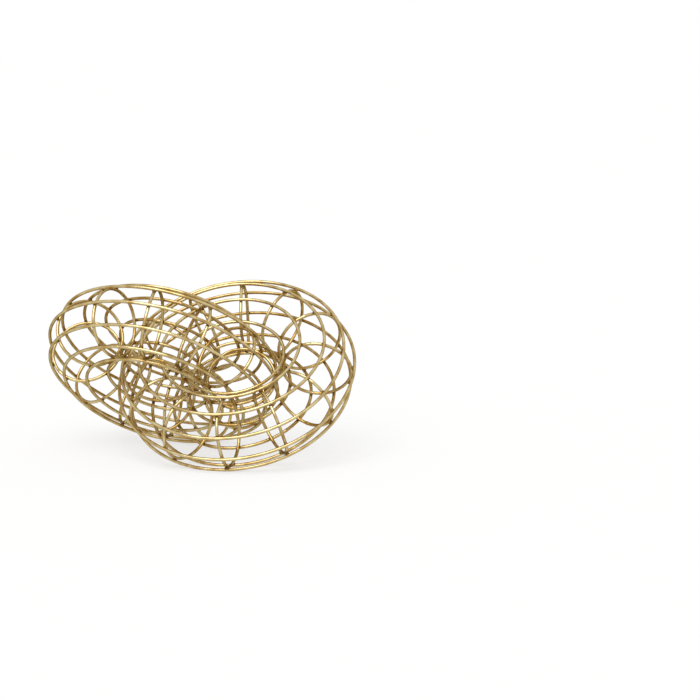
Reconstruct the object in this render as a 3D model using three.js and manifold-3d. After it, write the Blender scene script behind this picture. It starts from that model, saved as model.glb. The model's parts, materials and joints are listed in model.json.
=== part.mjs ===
// A chain of two interlocked wire-cage rings, lying on a table. Millimetres, +Z up.
import * as THREE from 'three';
import { mergeVertices } from 'three/addons/utils/BufferGeometryUtils.js';
import Module from 'manifold-3d';

const wasm = await Module();
wasm.setup();

// Driving dimensions
const WIRE_DIAMETER = 3.2;
const SECTION_DIAMETER = 78; // across the round section of a link, over its hoops
const HOOP_COUNT = 10; // long rings that run round a link's hole
const RIB_COUNT = 12; // short rings inside the hoops, round the link's section
const LINK_ANGLE = 75; // degrees between the planes of the two links
const LINK_CLEARANCE = 0.4; // between the links where they lie together
const BRAZE_GAP = 0.3; // between a rib and the hoops brazed to it
const FOOT_FLAT_DEPTH = 0.5; // how deep the flat is on a hoop that stands on the table

// How the chain lies, in degrees
const CHAIN_TURN = -17; // line of the link centres, from the X axis
const LEFT_RIB_TURN = 8; // first rib of each link, from the line of the centres
const RIGHT_RIB_TURN = 12;

// Facets: corners of the hoops fall on the ribs, and corners of the ribs on the hoops
const WIRE_SIDES = 6;
const HOOP_STEPS = 3 * RIB_COUNT;
const RIB_STEPS = 2 * HOOP_COUNT;
const SAME_POINT = 1e-3;

// Sizes that follow
const { degToRad } = THREE.MathUtils;
const wireRadius = WIRE_DIAMETER / 2;
const sideAngle = (2 * Math.PI) / WIRE_SIDES;
const wireCorner = wireRadius * Math.sqrt((2 * Math.PI) / (WIRE_SIDES * Math.sin(sideAngle)));
const wireFlat = wireCorner * Math.cos(sideAngle / 2);
const hoopOffset = SECTION_DIAMETER / 2 - wireRadius;
const ribRadius = hoopOffset - 2 * wireFlat - BRAZE_GAP;

// At this spacing and pitch radius the two round sections clear each other by the same amount at
// both ends of the chain and at the two places where the links cross.
const linkAngle = degToRad(LINK_ANGLE);
const linkSpacing = SECTION_DIAMETER + LINK_CLEARANCE;
const pitchRadius = linkSpacing / Math.sin(linkAngle);

// The right link leans so far that it stands on two hoops, and the left link takes up the rest.
const hoopStep = (2 * Math.PI) / HOOP_COUNT;
const hoopAngles = Array.from({ length: HOOP_COUNT }, (_, index) => index * hoopStep);
const rightLean = Math.PI / 2 - 1.5 * hoopStep;
const leftLean = linkAngle - rightLean;

// How far a link reaches below its centre when its axis leans by this angle
function reachBelow(lean) {
  const reaches = hoopAngles.map((angle) => {
    const hoopRadius = pitchRadius + hoopOffset * Math.cos(angle);
    return hoopRadius * Math.sin(lean) - hoopOffset * Math.sin(angle) * Math.cos(lean);
  });
  return Math.max(...reaches) + wireRadius;
}

// Dip of the line of centres at which both links reach the table
function findDip() {
  const settlingPasses = 6;
  let dip = 0;
  for (let pass = 0; pass < settlingPasses; pass += 1) {
    const leftReach = reachBelow(Math.acos(Math.cos(dip) * Math.cos(leftLean)));
    const rightReach = reachBelow(Math.acos(Math.cos(dip) * Math.cos(rightLean)));
    dip = Math.asin((leftReach - rightReach) / linkSpacing);
  }
  return dip;
}

// Wire ring about the Y axis, with one flat of its section turned to the given angle
function wireRing(ringRadius, height, flatAngle, steps) {
  const profile = [];
  for (let side = 0; side <= WIRE_SIDES; side += 1) {
    const angle = flatAngle + (side + 0.5) * sideAngle;
    const across = ringRadius + wireCorner * Math.cos(angle);
    const along = height + wireCorner * Math.sin(angle);
    profile.push(new THREE.Vector2(across, along));
  }
  return new THREE.LatheGeometry(profile, steps);
}

function brassWire() {
  return new THREE.MeshStandardMaterial({ color: '#a38f64', roughness: 0.38, metalness: 0.9 });
}

function numbered(name, index) {
  return `${name}_${String(index + 1).padStart(2, '0')}`;
}

// One link about the Z axis: hoops outside, ribs inside
function makeLink(name) {
  const link = new THREE.Group();
  hoopAngles.forEach((angle, index) => {
    const hoopRadius = pitchRadius + hoopOffset * Math.cos(angle);
    const height = hoopOffset * Math.sin(angle);
    const geometry = wireRing(hoopRadius, height, angle, HOOP_STEPS).rotateX(Math.PI / 2);
    const hoop = new THREE.Mesh(geometry, brassWire());
    hoop.name = numbered(`${name}_hoop`, index);
    link.add(hoop);
  });
  for (let index = 0; index < RIB_COUNT; index += 1) {
    const rib = new THREE.Mesh(wireRing(ribRadius, 0, 0, RIB_STEPS), brassWire());
    const angle = (2 * Math.PI * index) / RIB_COUNT;
    rib.name = numbered(`${name}_rib`, index);
    rib.position.set(pitchRadius * Math.cos(angle), pitchRadius * Math.sin(angle), 0);
    rib.rotation.z = angle;
    link.add(rib);
  }
  return link;
}

function toSolid(geometry) {
  const bare = geometry.clone();
  bare.deleteAttribute('normal');
  bare.deleteAttribute('uv');
  const merged = mergeVertices(bare, SAME_POINT);
  return new wasm.Manifold(new wasm.Mesh({
    numProp: 3,
    vertProperties: new Float32Array(merged.attributes.position.array),
    triVerts: new Uint32Array(merged.index.array),
  }));
}

function toGeometry(solid) {
  const { vertProperties, triVerts } = solid.getMesh();
  const geometry = new THREE.BufferGeometry();
  geometry.setAttribute('position', new THREE.BufferAttribute(vertProperties, 3));
  geometry.setIndex(new THREE.BufferAttribute(triVerts, 1));
  geometry.computeVertexNormals();
  return geometry;
}

// Cut flat what reaches below the table
function flattenFoot(mesh) {
  const tableSize = 4 * (pitchRadius + SECTION_DIAMETER);
  const table = new THREE.BoxGeometry(tableSize, tableSize, SECTION_DIAMETER);
  table.translate(0, 0, -SECTION_DIAMETER / 2);
  table.applyMatrix4(mesh.matrixWorld.clone().invert());
  mesh.geometry = toGeometry(toSolid(mesh.geometry).subtract(toSolid(table)));
}

// The chain: each link leans about the line of the centres, away from the other one
const leftLink = makeLink('left_link');
leftLink.position.x = -linkSpacing / 2;
leftLink.rotation.set(-leftLean, 0, degToRad(LEFT_RIB_TURN));

const rightLink = makeLink('right_link');
rightLink.position.x = linkSpacing / 2;
rightLink.rotation.set(rightLean, 0, degToRad(RIGHT_RIB_TURN));

const chain = new THREE.Group();
chain.add(leftLink, rightLink);
chain.rotation.set(0, findDip(), degToRad(CHAIN_TURN), 'ZYX');

// The sculpture stands on z = 0 with the middle of its box over the origin
const sculpture = new THREE.Group();
sculpture.add(chain);
const lyingBox = new THREE.Box3().setFromObject(sculpture, true);
const middle = lyingBox.getCenter(new THREE.Vector3());
chain.position.set(-middle.x, -middle.y, -lyingBox.min.z - FOOT_FLAT_DEPTH);
sculpture.updateMatrixWorld(true);
sculpture.traverse((piece) => {
  if (piece.isMesh && new THREE.Box3().setFromObject(piece, true).min.z < 0) flattenFoot(piece);
});

export default sculpture;
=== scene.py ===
"""Looks of a chain of two interlocked wire-cage links: bent wire, brazed crossings and a soft studio."""

import json
import math
import random

import bpy
import numpy as np
from mathutils import Matrix, Vector

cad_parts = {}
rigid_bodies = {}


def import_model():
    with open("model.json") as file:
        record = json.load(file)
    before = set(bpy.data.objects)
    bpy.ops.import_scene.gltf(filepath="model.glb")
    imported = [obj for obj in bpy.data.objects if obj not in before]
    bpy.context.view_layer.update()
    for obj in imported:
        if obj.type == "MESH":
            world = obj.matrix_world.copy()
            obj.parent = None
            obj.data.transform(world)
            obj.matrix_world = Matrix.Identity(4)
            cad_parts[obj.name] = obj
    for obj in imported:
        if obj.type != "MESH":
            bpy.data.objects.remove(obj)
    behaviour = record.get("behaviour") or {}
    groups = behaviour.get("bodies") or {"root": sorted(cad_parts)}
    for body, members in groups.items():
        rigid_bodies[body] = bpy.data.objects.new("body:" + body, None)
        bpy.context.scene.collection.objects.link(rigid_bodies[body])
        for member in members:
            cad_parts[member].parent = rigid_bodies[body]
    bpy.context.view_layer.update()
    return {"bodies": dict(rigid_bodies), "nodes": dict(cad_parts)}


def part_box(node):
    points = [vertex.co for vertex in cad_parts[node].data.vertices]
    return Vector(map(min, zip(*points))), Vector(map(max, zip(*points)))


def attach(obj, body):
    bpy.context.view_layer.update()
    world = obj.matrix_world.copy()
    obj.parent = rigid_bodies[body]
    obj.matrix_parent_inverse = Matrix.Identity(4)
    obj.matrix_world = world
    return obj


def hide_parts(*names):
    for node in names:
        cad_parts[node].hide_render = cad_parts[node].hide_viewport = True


bl_info = {
    "name": "Wire Chain Sculpture",
    "version": (1, 0, 0),
    "blender": (4, 5, 0),
    "location": "3D View > Sidebar > Chain",
    "description": "Bends the hoops and ribs of two wire-cage links, brazes them and lights them",
    "category": "Object",
}

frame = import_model()

MM = 0.001
LINKS = list(frame["bodies"])
HOOPS = sum(node.startswith(f"{LINKS[0]}_hoop") for node in frame["nodes"])
RIBS = sum(node.startswith(f"{LINKS[0]}_rib") for node in frame["nodes"])
HOOP_STEP = 2 * math.pi / HOOPS
RIB_STEP = 2 * math.pi / RIBS

# Points nearer than this count as one, in metres
MERGE = 1e-6

# Where loops are cut across a bead, as shares of its half length
BEAD_CUTS = (-1, -0.5, 0.5, 1)

# Shares of a bead's half length at which it swells, each with its share of the full rise
BEAD_SWELLS = ((0, 1.0), (0.5, 0.75))

# Waves in a hand-bent wire: turns of each round the ring, and its least and greatest share of the
# waviness
WAVE_TURNS = (1, 2, 3)
WAVE_SHARES = (0.3, 0.7)

# Ribs that were brazed askew, with the degrees that each is turned about its upright
LEANING_RIBS = {
    "left_link_rib_09": -5,
    "right_link_rib_04": -4,
    "right_link_rib_09": 6,
    "right_link_rib_10": 7,
}

# Crossings where the filler was left as a lump, with how many times as large it is
LUMPS = {("right_link_hoop_10", "right_link_rib_10"): 1.6}


def hex_to_linear(text):
    """Linear red, green, blue and alpha of an sRGB hex colour."""
    channels = [int(text[start:start + 2], 16) / 255 for start in (0, 2, 4)]
    linear = [c / 12.92 if c <= 0.04045 else ((c + 0.055) / 1.055) ** 2.4 for c in channels]
    return (*linear, 1.0)


# Settings that a user would change


class WireSettings(bpy.types.PropertyGroup):
    """Sizes of the bent wire."""

    diameter: bpy.props.FloatProperty(
        name="Wire diameter", description="Thickness of every hoop and rib",
        default=3.2 * MM, min=1 * MM, unit="LENGTH")
    seat_gap: bpy.props.FloatProperty(
        name="Seat gap", description="Room for the braze between a rib and the hoop on it",
        default=0.15 * MM, min=0.0, unit="LENGTH")
    waviness: bpy.props.FloatProperty(
        name="Waviness", description="How far a hand-bent wire strays sideways along its link",
        default=0.8 * MM, min=0.0, unit="LENGTH")
    sides: bpy.props.IntProperty(
        name="Sides", description="Facets round the wire", default=16, min=6)
    hoop_steps: bpy.props.IntProperty(
        name="Hoop steps", description="Steps round a hoop", default=120, min=24)
    rib_steps: bpy.props.IntProperty(
        name="Rib steps", description="Steps round a rib", default=60, min=24)
    bead_length: bpy.props.FloatProperty(
        name="Bead length", description="Length of the welded bead where a ring's two ends meet",
        default=4 * MM, min=1 * MM, unit="LENGTH")
    bead_rise: bpy.props.FloatProperty(
        name="Bead rise", description="How far the bead stands out, as a share of the wire's radius",
        default=0.16, min=0.0, max=0.5, subtype="FACTOR")


class BrazeSettings(bpy.types.PropertyGroup):
    """Sizes of the brazed fillets where hoops cross ribs."""

    half_length: bpy.props.FloatProperty(
        name="Half length", description="How far the filler runs along each wire from a crossing",
        default=1.9 * MM, min=1 * MM, unit="LENGTH")
    half_depth: bpy.props.FloatProperty(
        name="Half depth", description="How far the filler reaches from the seat into each wire",
        default=1.25 * MM, min=0.5 * MM, unit="LENGTH")
    flare: bpy.props.FloatProperty(
        name="Flare", description="How much the filler draws out along a wire with each step into it",
        default=1.25, min=1.0, max=2.0)
    spread: bpy.props.FloatProperty(
        name="Spread", description="How much the fillets differ in size",
        default=0.2, min=0.0, max=0.5, subtype="FACTOR")


class FinishSettings(bpy.types.PropertyGroup):
    """Colours of the plated wire."""

    brass: bpy.props.FloatVectorProperty(
        name="Antique brass", description="Satin plate on most of the wire",
        subtype="COLOR", size=4, default=hex_to_linear("a27f3c"))
    # Paler plate: wear in soft patches, and a painted highlight on the outer sides of the wires
    worn_and_highlit: bpy.props.FloatVectorProperty(
        name="Rubbed brass", description="Plate that handling has brightened",
        subtype="COLOR", size=4, default=hex_to_linear("d3c190"))
    # Brown patina with painted shade: darker round the crossings and in the hollows of the fillets
    umber_and_shade: bpy.props.FloatVectorProperty(
        name="Umber patina", description="Dark wash left round the brazed crossings",
        subtype="COLOR", size=4, default=hex_to_linear("67481c"))
    roughness: bpy.props.FloatProperty(
        name="Roughness", description="Satin of the lacquered plate",
        default=0.18, min=0.0, max=1.0, subtype="FACTOR")
    rim: bpy.props.FloatVectorProperty(
        name="Rim tint", description="What the plate keeps of the light that grazes it",
        subtype="COLOR", size=4, default=hex_to_linear("857a58"))


class StageSettings(bpy.types.PropertyGroup):
    """Floor, light and camera."""

    floor: bpy.props.FloatVectorProperty(
        name="Floor", description="Pale matt table top",
        subtype="COLOR", size=4, default=hex_to_linear("fafaf9"))
    whiteness: bpy.props.FloatProperty(
        name="Floor whiteness", description="How far plain white covers the floor and its shadow",
        default=0.6, min=0.0, max=1.0, subtype="FACTOR")
    elevation: bpy.props.FloatProperty(
        name="Camera elevation", description="Height of the view above the table's plane",
        default=math.radians(8.1), subtype="ANGLE")
    roll: bpy.props.FloatProperty(
        name="Camera roll", description="Turn of the camera about its own line of sight",
        default=math.radians(0.3), subtype="ANGLE")
    distance: bpy.props.FloatProperty(
        name="Camera distance", description="From the camera to the sculpture, along the view",
        default=2226 * MM, unit="LENGTH")
    light_strength: bpy.props.FloatProperty(
        name="Light strength", description="Strength of the soft light", default=1.95, min=0.0)
    light_width: bpy.props.FloatProperty(
        name="Light width", description="Width of the soft light, seen from the sculpture",
        default=math.radians(48), subtype="ANGLE")
    lens: bpy.props.FloatProperty(
        name="Lens", description="Focal length on a 36 mm sensor, in millimetres", default=114.5)


# Shape of the links, read from the frame


def node_name(link, kind, index):
    """Name of a hoop's or a rib's node."""
    return f"{link}_{kind}_{index + 1:02d}"


def node_centre(node):
    """Middle of a node's box, which is the centre of its ring."""
    low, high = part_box(node)
    return (low + high) / 2


class LinkShape:
    """Where a link lies: its centre, its axes, and the radii of its cage."""

    def __init__(self, link):
        wire = bpy.context.scene.chain_wire
        self.name = link
        # Two like hoops, one near the top of the section and one near its bottom, give the axis.
        top_share = 0.3
        raised = round(top_share * HOOPS)
        upper = node_centre(node_name(link, "hoop", raised))
        lower = node_centre(node_name(link, "hoop", HOOPS - raised))
        self.centre = node_centre(node_name(link, "hoop", 0))
        first_rib = node_centre(node_name(link, "rib", 0)) - self.centre
        axis = (upper - lower).normalized()
        self.pitch = first_rib.length
        self.hoop_offset = (upper - lower).length / (2 * math.sin(raised * HOOP_STEP))
        self.rib_radius = self.hoop_offset - wire.diameter - wire.seat_gap
        across = first_rib.normalized()
        along = axis.cross(across)
        turn = Matrix((across, along, axis)).transposed().to_4x4()
        self.matrix = Matrix.Translation(self.centre) @ turn
        self.lowest = math.atan2(-along.z, -across.z)

    def stray(self, kind, index):
        """Function that gives how far a wire strays sideways, by the angle along it. A hoop keeps
        its place at its lowest point, where it may stand on the table, and a rib may lean."""
        draw = random.Random(f"{self.name} {kind} {index}")
        waviness = bpy.context.scene.chain_wire.waviness
        start = self.lowest if kind == "hoop" else draw.uniform(0, 2 * math.pi)
        waves = [(turns, draw.choice((-1, 1)) * draw.uniform(*WAVE_SHARES) * waviness)
                 for turns in WAVE_TURNS]
        lean, upright = self.lean(kind, index)

        def sideways(angle):
            wander = sum(size * np.sin(turns * (angle - start)) for turns, size in waves)
            return wander + lean * np.sin(angle - upright)

        return sideways

    def lean(self, kind, index):
        """How far a leaning rib's sides reach from its plane, and the angle of its upright in it."""
        turn = math.radians(LEANING_RIBS.get(node_name(self.name, kind, index), 0))
        around = index * RIB_STEP
        outward = self.matrix.to_3x3() @ Vector((math.cos(around), math.sin(around), 0))
        axis = self.matrix.to_3x3() @ Vector((0, 0, 1))
        return self.rib_radius * math.sin(turn), math.atan2(axis.z, outward.z)

    def crossing(self, hoop, rib):
        """Angles round the link and round its section at which a hoop crosses a rib."""
        hoop_stray = self.stray("hoop", hoop)
        rib_stray = self.stray("rib", rib)
        around = rib * RIB_STEP
        section = hoop * HOOP_STEP
        settling_passes = 4
        for _ in range(settling_passes):
            reach = self.pitch + self.rib_radius * math.cos(section)
            around = rib * RIB_STEP + rib_stray(section) / reach
            section = hoop * HOOP_STEP + hoop_stray(around) / self.hoop_offset
        return around, section

    def seat(self, hoop, rib):
        """Place of the braze at a crossing: X along the hoop, Y along the rib, Z outwards."""
        around, section = self.crossing(hoop, rib)
        outward = Vector((math.cos(section), 0, math.sin(section)))
        rib_way = Vector((-math.sin(section), 0, math.cos(section)))
        hoop_way = rib_way.cross(outward)
        middle = (self.hoop_offset + self.rib_radius) / 2
        place = Vector((self.pitch, 0, 0)) + middle * outward
        axes = Matrix((hoop_way, rib_way, outward)).transposed().to_4x4()
        return Matrix.Rotation(around, 4, "Z") @ Matrix.Translation(place) @ axes


# Modelling


def select_faces(ring, test):
    """In edit mode, leave selected the faces whose middles pass the test."""
    bpy.ops.mesh.select_all(action="DESELECT")
    bpy.ops.object.mode_set(mode="OBJECT")
    for face in ring.data.polygons:
        face.select = test(face.center)
    bpy.ops.object.mode_set(mode="EDIT")


def select_points(ring, test):
    """In edit mode, leave selected the vertices that pass the test."""
    bpy.ops.mesh.select_mode(type="VERT")
    bpy.ops.mesh.select_all(action="DESELECT")
    bpy.ops.object.mode_set(mode="OBJECT")
    for vertex in ring.data.vertices:
        vertex.select = test(vertex.co)
    bpy.ops.object.mode_set(mode="EDIT")


def bend_ring(radius, steps):
    """Round wire bent into a ring about Z, with the bead of its butt joint on +X."""
    wire = bpy.context.scene.chain_wire
    bpy.ops.object.select_all(action="DESELECT")
    bpy.ops.mesh.primitive_circle_add(
        vertices=wire.sides, radius=wire.diameter / 2,
        location=(radius, 0, 0), rotation=(math.pi / 2, 0, 0))
    ring = bpy.context.object
    bpy.ops.object.transform_apply(location=True, rotation=True, scale=True)
    bpy.ops.object.mode_set(mode="EDIT")
    bpy.ops.mesh.select_all(action="SELECT")
    bpy.ops.mesh.spin(steps=steps, angle=2 * math.pi, center=(0, 0, 0), axis=(0, 0, 1))
    bpy.ops.mesh.select_all(action="SELECT")
    bpy.ops.mesh.remove_doubles(threshold=MERGE)
    bpy.ops.mesh.normals_make_consistent(inside=False)
    raise_bead(ring, radius)
    bpy.ops.object.mode_set(mode="OBJECT")
    if len(ring.data.vertices) != wire.sides * (steps + len(BEAD_CUTS)):
        raise RuntimeError(f"The ring of radius {radius:.4f} m did not close")
    bpy.ops.object.shade_smooth()
    mark_drawing(ring, radius)
    return ring


def raise_bead(ring, radius):
    """Cut loops round the butt joint on +X and swell the middle ones into a bead."""
    wire = bpy.context.scene.chain_wire
    half = wire.bead_length / 2
    # Reach of the faces beside the joint, which is at least one step of the ring
    near = 2 * math.pi * radius / wire.rib_steps
    for share in BEAD_CUTS:
        bpy.ops.mesh.select_mode(type="FACE")
        select_faces(ring, lambda middle: middle.x > 0 and abs(middle.y) < near)
        bpy.ops.mesh.bisect(
            plane_co=(radius, share * half, 0), plane_no=(0, 1, 0), threshold=MERGE)
    for share, swell in BEAD_SWELLS:
        select_points(ring, lambda point: point.x > 0 and abs(abs(point.y) - share * half) < MERGE)
        scale = 1 + wire.bead_rise * swell
        bpy.ops.transform.resize(value=(scale, 1, scale), center_override=(radius, 0, 0))


def mark_drawing(ring, radius):
    """Store on a flat ring each point's place round the wire and along it, for the drawn lines."""
    points = read_points(ring.data)
    reach = np.hypot(points[:, 0], points[:, 1]) - radius
    side = np.arctan2(points[:, 2], reach)
    along = radius * np.abs(np.arctan2(points[:, 1], points[:, 0]))
    half = bpy.context.scene.chain_wire.diameter / 2
    places = np.column_stack((half * np.cos(side), half * np.sin(side), along))
    layer = ring.data.attributes.new("drawn", "FLOAT_VECTOR", "POINT")
    layer.data.foreach_set("vector", places.ravel())


def copy_piece(pattern, name):
    """Copy of a modelled piece, with a mesh of its own."""
    piece = bpy.data.objects.new(name, pattern.data.copy())
    piece.data.name = name
    bpy.context.scene.collection.objects.link(piece)
    return piece


def read_points(mesh):
    """Vertices of a mesh as rows of x, y and z."""
    points = np.empty(len(mesh.vertices) * 3)
    mesh.vertices.foreach_get("co", points)
    return points.reshape(-1, 3)


def stray_sideways(ring, shape, kind, index):
    """Let a placed ring wander along its link's round section, as hand-bent wire does."""
    points = read_points(ring.data)
    stray = shape.stray(kind, index)
    reach = np.hypot(points[:, 0], points[:, 1])
    around = np.arctan2(points[:, 1], points[:, 0])
    section = np.arctan2(points[:, 2], reach - shape.pitch)
    if kind == "hoop":
        depth = np.hypot(points[:, 2], reach - shape.pitch)
        section = section + stray(around) / shape.hoop_offset
        reach = shape.pitch + depth * np.cos(section)
        points[:, 2] = depth * np.sin(section)
    else:
        around = around + stray(section) / reach
    points[:, 0] = reach * np.cos(around)
    points[:, 1] = reach * np.sin(around)
    ring.data.vertices.foreach_set("co", points.ravel())


def mark_highlight_side(ring, shape, kind):
    """Store on the wire how far each point faces out of the cage: 1 outermost, -1 innermost. The outer
    sides are made paler with it, as a painted highlight.
    """
    points = read_points(ring.data)
    reach = np.hypot(points[:, 0], points[:, 1]) - shape.pitch
    depth = np.hypot(points[:, 2], reach)
    middle = shape.hoop_offset if kind == "hoop" else shape.rib_radius
    facing = (depth - middle) / (bpy.context.scene.chain_wire.diameter / 2)
    layer = ring.data.attributes.new("exposed", "FLOAT", "POINT")
    layer.data.foreach_set("value", facing)


def mark_crossings(ring, seats):
    """Store on the wire how near each point is to a brazed crossing, for the patina and painted shade
    round it.
    """
    # How far the patina and painted shade reach from a crossing
    half_lengths = 1.5
    patina_and_shade_reach = half_lengths * bpy.context.scene.chain_braze.half_length
    points = read_points(ring.data)
    places = np.array([seat.translation for seat in seats])
    gaps = np.linalg.norm(points[:, None, :] - places[None, :, :], axis=2).min(axis=1)
    nearness = np.exp(-(gaps / patina_and_shade_reach) ** 2)
    layer = ring.data.attributes.new("near_braze", "FLOAT", "POINT")
    layer.data.foreach_set("value", nearness)


def flatten_foot(ring):
    """Cut flat what reaches below the table plane."""
    if read_points(ring.data)[:, 2].min() >= 0:
        return
    bpy.ops.object.select_all(action="DESELECT")
    ring.select_set(True)
    bpy.context.view_layer.objects.active = ring
    bpy.ops.object.mode_set(mode="EDIT")
    bpy.ops.mesh.select_all(action="SELECT")
    bpy.ops.mesh.bisect(
        plane_co=(0, 0, 0), plane_no=(0, 0, 1), use_fill=True, clear_inner=True, threshold=MERGE)
    bpy.ops.mesh.select_all(action="SELECT")
    bpy.ops.mesh.normals_make_consistent(inside=False)
    bpy.ops.object.mode_set(mode="OBJECT")


def check_place(ring, node):
    """Stop if a wire's middle has left the middle of the node that it stands for."""
    points = read_points(ring.data)
    middle = Vector((points.min(axis=0) + points.max(axis=0)) / 2)
    if (middle - node_centre(node)).length > bpy.context.scene.chain_wire.diameter / 2:
        raise RuntimeError(f"{ring.name} has left its place")


def finish_wire(ring, shape, kind, index, seats):
    """Give a ring its waves, its place, its finish and the node that it stands for."""
    node = node_name(shape.name, kind, index)
    stray_sideways(ring, shape, kind, index)
    mark_highlight_side(ring, shape, kind)
    mark_crossings(ring, seats)
    ring.data.transform(shape.matrix)
    flatten_foot(ring)
    check_place(ring, node)
    ring.data.materials.append(antique_brass_plate())
    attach(ring, shape.name)
    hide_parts(node)


def model_fillet():
    """One brazed fillet about the origin: a collar that runs along X above and along Y below."""
    braze = bpy.context.scene.chain_braze
    sides = 10
    rises = 2
    bpy.ops.object.select_all(action="DESELECT")
    bpy.ops.mesh.primitive_circle_add(vertices=sides, radius=braze.half_length)
    fillet = bpy.context.object
    bpy.ops.object.mode_set(mode="EDIT")
    along_hoop = (braze.flare, 1 / braze.flare, 1)
    along_rib = (1 / braze.flare, braze.flare, 1)
    for side, flare in ((1, along_hoop), (-1, along_rib)):
        select_points(fillet, lambda point: abs(point.z) < MERGE)
        rise = (0, 0, side * braze.half_depth / rises)
        for _ in range(rises):
            bpy.ops.mesh.extrude_region_move(TRANSFORM_OT_translate={"value": rise})
            bpy.ops.transform.resize(value=flare, center_override=(0, 0, 0))
        bpy.ops.mesh.edge_face_add()
    bpy.ops.mesh.select_all(action="SELECT")
    bpy.ops.mesh.normals_make_consistent(inside=False)
    bpy.ops.object.mode_set(mode="OBJECT")
    bpy.ops.object.shade_smooth()
    return fillet


# Finishes

# Sockets of a node that mixes two colours
MIX_SHARE = 0
MIX_FROM = 6
MIX_TO = 7
MIX_RESULT = 2


def add_node(tree, kind, settings=(), values=(), links=()):
    """Add one node with its settings, its socket values and its links."""
    made = tree.nodes.new(kind)
    for name, value in dict(settings).items():
        setattr(made, name, value)
    for name, value in dict(values).items():
        made.inputs[name].default_value = value
    for name, (source, output) in dict(links).items():
        tree.links.new(source.outputs[output], made.inputs[name])
    return made


def new_material(name):
    """Empty node material with an output."""
    material = bpy.data.materials.new(name)
    material.use_nodes = True
    material.node_tree.nodes.clear()
    output = add_node(material.node_tree, "ShaderNodeOutputMaterial")
    return material, material.node_tree, output


def seen_share(tree, strength):
    """Strength on what the camera sees, straight, mirrored or through glass, and none elsewhere."""
    path = add_node(tree, "ShaderNodeLightPath")
    mirrored = add_node(
        tree, "ShaderNodeMath", settings={"operation": "MAXIMUM"},
        links={0: (path, "Is Camera Ray"), 1: (path, "Is Glossy Ray")})
    seen = add_node(
        tree, "ShaderNodeMath", settings={"operation": "MAXIMUM"},
        links={0: (mirrored, 0), 1: (path, "Is Transmission Ray")})
    return add_node(
        tree, "ShaderNodeMath", settings={"operation": "MULTIPLY"}, values={1: strength},
        links={0: (seen, 0)})


def antique_brass_plate():
    """Drawn wire with a plate of brass that was antiqued, worn and lacquered, with a painted highlight
    and painted shade in its colour.
    """
    # The eye sees satin metal with fine lines along the wire, worn paler in soft patches a centimetre
    # long, outer sides made paler as a painted highlight, brown patina with painted shade in the corners
    # at the crossings, and a thin gloss.
    name = "antique_brass_plate"
    if name in bpy.data.materials:
        return bpy.data.materials[name]
    finish = bpy.context.scene.chain_finish
    material, tree, output = new_material(name)
    patch_size = 11 * MM
    # The brown patina breaks up more finely than this, and this grain also breaks up the painted shade
    # round the crossings. It is drawn coarser so that it shows.
    grain_size = 0.7 * MM
    # The lines of a drawing die are a tenth as wide. They are drawn coarser so that they show.
    line_width = 0.5 * MM
    line_length = 30 * MM
    line_depth = 0.008 * MM
    # How much paler the outer side of a wire is made than its middle, as a painted highlight
    outer_share = 0.1
    place = add_node(tree, "ShaderNodeTexCoord")
    patches = add_node(
        tree, "ShaderNodeTexNoise", values={"Scale": 1 / patch_size, "Detail": 4.0},
        links={"Vector": (place, "Object")})
    # Outer sides of the wires made paler, a painted highlight, on top of the worn patches
    exposed = add_node(tree, "ShaderNodeAttribute", settings={"attribute_name": "exposed"})
    wear_and_highlight = add_node(
        tree, "ShaderNodeMath", settings={"operation": "MULTIPLY_ADD"}, values={1: outer_share},
        links={0: (exposed, "Fac"), 2: (patches, "Fac")})
    wear_and_highlight_share = add_node(
        tree, "ShaderNodeMapRange", values={"From Min": 0.32, "From Max": 0.72},
        links={"Value": (wear_and_highlight, 0)})
    plate = add_node(
        tree, "ShaderNodeMix", settings={"data_type": "RGBA"},
        values={MIX_FROM: finish.brass, MIX_TO: finish.worn_and_highlit},
        links={MIX_SHARE: (wear_and_highlight_share, "Result")})
    grain = add_node(
        tree, "ShaderNodeTexNoise", values={"Scale": 1 / grain_size, "Detail": 3.0},
        links={"Vector": (place, "Object")})
    drawn = add_node(tree, "ShaderNodeAttribute", settings={"attribute_name": "drawn"})
    stretched = add_node(
        tree, "ShaderNodeMapping", values={"Scale": (1 / line_width, 1 / line_width, 1 / line_length)},
        links={"Vector": (drawn, "Vector")})
    lines = add_node(
        tree, "ShaderNodeTexNoise", values={"Scale": 1.0, "Detail": 2.0},
        links={"Vector": (stretched, 0)})
    # Darker round the crossings: brown patina, and painted shade in the corners where the wires meet
    nearness = add_node(tree, "ShaderNodeAttribute", settings={"attribute_name": "near_braze"})
    ragged = add_node(
        tree, "ShaderNodeMath", settings={"operation": "MULTIPLY"},
        links={0: (nearness, "Fac"), 1: (grain, "Fac")})
    patina_and_shade = add_node(
        tree, "ShaderNodeMapRange",
        values={"From Min": 0.12, "From Max": 0.55, "To Max": 0.75}, links={"Value": (ragged, 0)})
    with_patina_and_shade = add_node(
        tree, "ShaderNodeMix", settings={"data_type": "RGBA"}, values={MIX_TO: finish.umber_and_shade},
        links={MIX_SHARE: (patina_and_shade, "Result"), MIX_FROM: (plate, MIX_RESULT)})
    smoother = 0.06
    rougher = 0.08
    roughness = add_node(
        tree, "ShaderNodeMapRange",
        values={"From Min": 0.3, "From Max": 0.7, "To Min": finish.roughness - smoother,
                "To Max": finish.roughness + rougher},
        links={"Value": (lines, "Fac")})
    bump = add_node(
        tree, "ShaderNodeBump", values={"Strength": 0.4, "Distance": line_depth},
        links={"Height": (lines, "Fac")})
    shader = add_node(
        tree, "ShaderNodeBsdfPrincipled",
        values={"Metallic": 1.0, "Specular Tint": finish.rim,
                "Coat Weight": 0.2, "Coat Roughness": 0.08},
        links={"Base Color": (with_patina_and_shade, MIX_RESULT), "Roughness": (roughness, "Result"),
               "Normal": (bump, 0)})
    tree.links.new(shader.outputs[0], output.inputs["Surface"])
    return material


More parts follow.
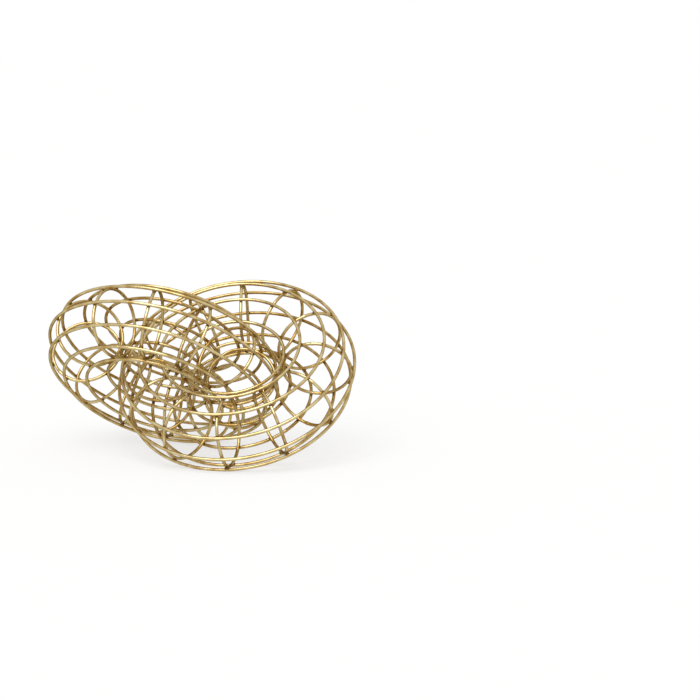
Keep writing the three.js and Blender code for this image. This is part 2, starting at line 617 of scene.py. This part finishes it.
def brazed_filler():
    """Brass filler that was melted into the corners, under the same plate, with patina and painted
    shade.
    """
    # The eye sees small dull lumps, brown with patina and painted shade in their hollows and brassy
    # where they stand out.
    name = "brazed_filler"
    if name in bpy.data.materials:
        return bpy.data.materials[name]
    finish = bpy.context.scene.chain_finish
    material, tree, output = new_material(name)
    lump_size = 1.6 * MM
    lump_depth = 0.12 * MM
    place = add_node(tree, "ShaderNodeTexCoord")
    lumps = add_node(
        tree, "ShaderNodeTexNoise", values={"Scale": 1 / lump_size, "Detail": 3.0},
        links={"Vector": (place, "Object")})
    # Brown in the hollows of the lumps, patina with painted shade; brassy on their tops
    bright = add_node(
        tree, "ShaderNodeMapRange", values={"From Min": 0.4, "From Max": 0.7, "To Max": 0.8},
        links={"Value": (lumps, "Fac")})
    colour = add_node(
        tree, "ShaderNodeMix", settings={"data_type": "RGBA"},
        values={MIX_FROM: finish.umber_and_shade, MIX_TO: finish.brass},
        links={MIX_SHARE: (bright, "Result")})
    bump = add_node(
        tree, "ShaderNodeBump", values={"Strength": 0.6, "Distance": lump_depth},
        links={"Height": (lumps, "Fac")})
    shader = add_node(
        tree, "ShaderNodeBsdfPrincipled", values={"Metallic": 1.0, "Roughness": 0.48},
        links={"Base Color": (colour, MIX_RESULT), "Normal": (bump, 0)})
    tree.links.new(shader.outputs[0], output.inputs["Surface"])
    return material


def matt_white_board():
    """Board painted matt white, for the floor."""
    # Paint without gloss shows the wire's soft shadow and no mirror image. The camera and the metal
    # see it partly as plain white, as in a brightly lit picture, which thins the shadow.
    stage = bpy.context.scene.chain_stage
    material, tree, output = new_material("matt_white_board")
    paint = add_node(tree, "ShaderNodeBsdfDiffuse", values={"Color": stage.floor})
    white = add_node(tree, "ShaderNodeEmission", values={"Color": hex_to_linear("ffffff")})
    share = seen_share(tree, stage.whiteness)
    ground = add_node(
        tree, "ShaderNodeMixShader", links={0: (share, 0), 1: (paint, 0), 2: (white, 0)})
    tree.links.new(ground.outputs[0], output.inputs["Surface"])
    return material


# Operators


class CHAIN_OT_bend_hoops(bpy.types.Operator):
    """Bend the long hoops of both links."""

    bl_idname = "chain.bend_hoops"
    bl_label = "Bend Hoops"

    def execute(self, context):
        shapes = [LinkShape(link) for link in LINKS]
        for hoop in range(HOOPS):
            section = hoop * HOOP_STEP
            first = shapes[0]
            radius = first.pitch + first.hoop_offset * math.cos(section)
            pattern = bend_ring(radius, context.scene.chain_wire.hoop_steps)
            for shape in shapes:
                ring = copy_piece(pattern, f"{node_name(shape.name, 'hoop', hoop)}_wire")
                # The butt joint lies midway between two ribs.
                joint = random.Random(ring.name).randrange(RIBS) + 0.5
                turn = Matrix.Rotation(joint * RIB_STEP, 4, "Z")
                lift = Matrix.Translation((0, 0, shape.hoop_offset * math.sin(section)))
                ring.data.transform(lift @ turn)
                seats = [shape.seat(hoop, rib) for rib in range(RIBS)]
                finish_wire(ring, shape, "hoop", hoop, seats)
            bpy.data.objects.remove(pattern)
        return {"FINISHED"}


class CHAIN_OT_bend_ribs(bpy.types.Operator):
    """Bend the short ribs inside the hoops of both links."""

    bl_idname = "chain.bend_ribs"
    bl_label = "Bend Ribs"

    def execute(self, context):
        shapes = [LinkShape(link) for link in LINKS]
        pattern = bend_ring(shapes[0].rib_radius, context.scene.chain_wire.rib_steps)
        stand = Matrix.Rotation(math.pi / 2, 4, "X")
        for shape in shapes:
            for rib in range(RIBS):
                ring = copy_piece(pattern, f"{node_name(shape.name, 'rib', rib)}_wire")
                # The butt joint lies midway between two hoops.
                joint = random.Random(ring.name).randrange(HOOPS) + 0.5
                turn = Matrix.Rotation(joint * HOOP_STEP, 4, "Z")
                seat = Matrix.Rotation(rib * RIB_STEP, 4, "Z") @ Matrix.Translation((shape.pitch, 0, 0))
                ring.data.transform(seat @ stand @ turn)
                seats = [shape.seat(hoop, rib) for hoop in range(HOOPS)]
                finish_wire(ring, shape, "rib", rib, seats)
        bpy.data.objects.remove(pattern)
        return {"FINISHED"}


class CHAIN_OT_braze_crossings(bpy.types.Operator):
    """Braze each hoop to the ribs that it crosses."""

    bl_idname = "chain.braze_crossings"
    bl_label = "Braze Crossings"

    def execute(self, context):
        spread = context.scene.chain_braze.spread
        pattern = model_fillet()
        for link in LINKS:
            shape = LinkShape(link)
            for hoop in range(HOOPS):
                name = f"{node_name(link, 'hoop', hoop)}_brazes"
                draw = random.Random(name)
                bpy.ops.object.select_all(action="DESELECT")
                for rib in range(RIBS):
                    fillet = copy_piece(pattern, name)
                    crossed = (node_name(link, "hoop", hoop), node_name(link, "rib", rib))
                    growth = LUMPS.get(crossed, 1)
                    sizes = [growth * draw.uniform(1 - spread, 1 + spread) for _ in range(3)]
                    seat = shape.matrix @ shape.seat(hoop, rib)
                    fillet.data.transform(seat @ Matrix.Diagonal((*sizes, 1)))
                    fillet.select_set(True)
                    context.view_layer.objects.active = fillet
                bpy.ops.object.join()
                brazes = context.view_layer.objects.active
                brazes.name = name
                if len(brazes.data.polygons) != RIBS * len(pattern.data.polygons):
                    raise RuntimeError(f"{name} lacks a fillet")
                flatten_foot(brazes)
                brazes.data.materials.append(brazed_filler())
                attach(brazes, link)
        bpy.data.objects.remove(pattern)
        return {"FINISHED"}


class CHAIN_OT_light_stage(bpy.types.Operator):
    """Lay the floor, hang the soft light and set the camera."""

    bl_idname = "chain.light_stage"
    bl_label = "Light Stage"

    def execute(self, context):
        scene = context.scene
        scene.view_settings.view_transform = "Standard"
        self.lay_floor()
        self.fill_surround(scene)
        self.hang_soft_light(scene)
        self.set_camera(scene)
        if scene.camera is None or scene.world is None:
            raise RuntimeError("The stage lacks its camera or its surround")
        return {"FINISHED"}

    def lay_floor(self):
        """Matt floor on the table plane, wide enough to fill the view."""
        width = 60  # metres
        bpy.ops.object.select_all(action="DESELECT")
        bpy.ops.mesh.primitive_plane_add(size=width)
        floor = bpy.context.object
        floor.name = "floor"
        floor.data.materials.append(matt_white_board())

    def fill_surround(self, scene):
        """White surround for the view and for reflections, and an even fill on matt surfaces."""
        world = bpy.data.worlds.new("white_surround")
        scene.world = world
        world.use_nodes = True
        tree = world.node_tree
        tree.nodes.clear()
        output = add_node(tree, "ShaderNodeOutputWorld")
        fill = 0.59
        seen = seen_share(tree, 1 - fill)
        strength = add_node(
            tree, "ShaderNodeMath", settings={"operation": "ADD"}, values={1: fill},
            links={0: (seen, 0)})
        white = hex_to_linear("ffffff")
        light = add_node(
            tree, "ShaderNodeBackground", values={"Color": white}, links={"Strength": (strength, 0)})
        tree.links.new(light.outputs[0], output.inputs["Surface"])

    def hang_soft_light(self, scene):
        """Wide soft light high in front, a little to the left, even over the whole floor."""
        stage = scene.chain_stage
        lean_forward = math.radians(40)
        lean_left = math.radians(-12)
        bpy.ops.object.light_add(type="SUN", rotation=(lean_forward, lean_left, 0))
        lamp = bpy.context.object
        lamp.name = "high_soft_light"
        lamp.data.energy = stage.light_strength
        lamp.data.angle = stage.light_width

    def set_camera(self, scene):
        """Camera that sees the sculpture left of the middle of the picture."""
        stage = scene.chain_stage
        aside = 149.3 * MM
        above = 106.7 * MM
        far_end = 100  # metres
        tilt = stage.elevation
        place = (
            aside,
            -stage.distance * math.cos(tilt),
            above + stage.distance * math.sin(tilt))
        bpy.ops.object.camera_add(location=place, rotation=(math.pi / 2 - tilt, 0, 0))
        camera = bpy.context.object
        camera.rotation_euler.rotate_axis("Z", stage.roll)
        camera.data.lens = stage.lens
        camera.data.clip_end = far_end
        scene.camera = camera


class CHAIN_PT_panel(bpy.types.Panel):
    """Steps that make the chain, in order."""

    bl_idname = "CHAIN_PT_panel"
    bl_label = "Wire Chain"
    bl_space_type = "VIEW_3D"
    bl_region_type = "UI"
    bl_category = "Chain"

    def draw(self, context):
        for operator in OPERATORS:
            self.layout.operator(operator.bl_idname)
        for group in SETTINGS:
            settings = getattr(context.scene, group)
            for name in settings.bl_rna.properties.keys():
                if name not in ("rna_type", "name"):
                    self.layout.prop(settings, name)


SETTINGS = {
    "chain_wire": WireSettings,
    "chain_braze": BrazeSettings,
    "chain_finish": FinishSettings,
    "chain_stage": StageSettings,
}
OPERATORS = (
    CHAIN_OT_bend_hoops,
    CHAIN_OT_bend_ribs,
    CHAIN_OT_braze_crossings,
    CHAIN_OT_light_stage,
)
CLASSES = (*SETTINGS.values(), *OPERATORS, CHAIN_PT_panel)


def register():
    """Add the classes and the settings to Blender."""
    for made in CLASSES:
        bpy.utils.register_class(made)
    for name, group in SETTINGS.items():
        setattr(bpy.types.Scene, name, bpy.props.PointerProperty(type=group))


def unregister():
    """Take the settings and the classes out again."""
    for name in SETTINGS:
        delattr(bpy.types.Scene, name)
    for made in reversed(CLASSES):
        bpy.utils.unregister_class(made)


def main():
    """Make the sculpture and the stage."""
    register()
    bpy.ops.chain.bend_hoops()
    bpy.ops.chain.bend_ribs()
    bpy.ops.chain.braze_crossings()
    bpy.ops.chain.light_stage()


if __name__ == "__main__":
    main()
